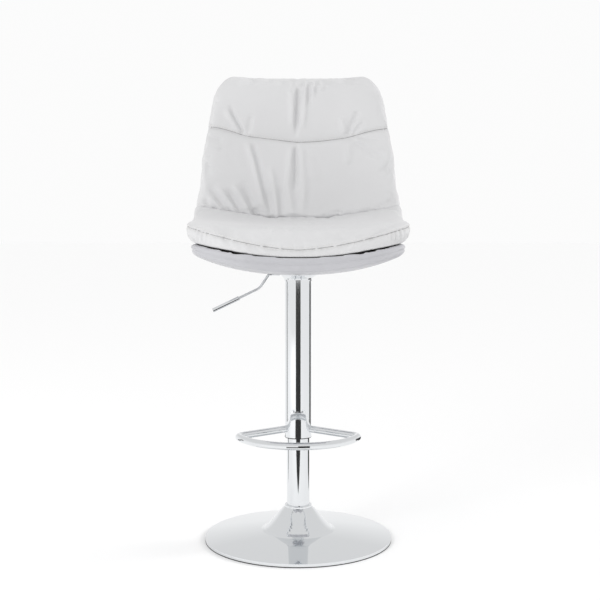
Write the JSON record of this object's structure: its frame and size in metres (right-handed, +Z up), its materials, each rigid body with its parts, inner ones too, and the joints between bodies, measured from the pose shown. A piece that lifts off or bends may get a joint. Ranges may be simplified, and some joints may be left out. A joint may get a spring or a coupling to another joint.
{
  "type": "adjustable swivel stool",
  "caption": "Padded bucket bar stool with low back, gas lift column with chrome sleeve, loop footrest, release lever and round trumpet base; swivels and lifts",
  "frame": {"origin": "on the floor, on the axis of the column, with the seat lifted 85 mm from its lowest stop", "axes": "+Z up, front of the seat along -Y, release lever along -X"},
  "size_m": [0.46, 0.4534, 1.0214],
  "materials": {
    "chrome": "polished",
    "rod_chrome": "polished",
    "steel": "satin",
    "rubber": "matte",
    "black_plastic": "matte",
    "plywood": "matte",
    "shell_leather": "satin",
    "seat_leather": "satin",
    "back_leather": "satin"
  },
  "bodies": {
    "base": {"base_dome": "chrome", "floor_ring": "rubber", "base_brace": "steel", "base_socket": "steel", "collar_ring": "chrome", "stand_tube": "chrome", "guide_bush": "black_plastic", "lower_race": "steel"},
    "ball_cage": {"bearing_cage": "black_plastic", "bearing_balls": "steel"},
    "gas_rod": {"upper_race": "steel", "rod_clip": "steel", "rubber_bumper": "rubber", "piston_rod": "rod_chrome", "piston": "black_plastic"},
    "seat_carrier": {"gas_cylinder": "steel", "rod_guide": "black_plastic", "upper_sleeve": "chrome", "sleeve_bush": "black_plastic", "footrest_ring": "chrome", "footrest_bracket": "chrome", "bell_cover": "chrome", "mechanism_housing": "steel", "seat_plate": "steel", "lever_pin": "steel", "seat_board": "plywood", "padded_shell": "shell_leather", "seat_cushion": "seat_leather", "back_cushion": "back_leather", "seat_screws": "steel", "t_nuts": "steel"},
    "lever": {"lever_rod": "chrome", "lever_grip": "chrome"},
    "valve": {"valve_button": "steel"}
  },
  "joints": [
    {"name": "swivel", "type": "hinge", "parent": "base", "child": "gas_rod", "pos_m": [0, 0, 0.02], "axis": [0, 0, 1], "continuous": true},
    {"name": "cage_turn", "type": "hinge", "parent": "base", "child": "ball_cage", "pos_m": [0, 0, 0.02], "axis": [0, 0, 1], "continuous": true},
    {"name": "seat_lift", "type": "slide", "parent": "gas_rod", "child": "seat_carrier", "axis": [0, 0, 1], "range_m": [-0.085, 0.125]},
    {"name": "lever_pull", "type": "hinge", "parent": "seat_carrier", "child": "lever", "pos_m": [-0.019, 0, 0.587], "axis": [0, 1, 0], "range_deg": [0, 5], "stiffness_Nm_per_rad": 6},
    {"name": "button_press", "type": "slide", "parent": "seat_carrier", "child": "valve", "axis": [0, 0, -1], "range_m": [0, 0.0022]}
  ],
  "couplings": [
    {"joint": "cage_turn", "follows": "swivel", "ratio": 0.5},
    {"joint": "button_press", "follows": "lever_pull", "m_per_rad": 0.0224}
  ]
}
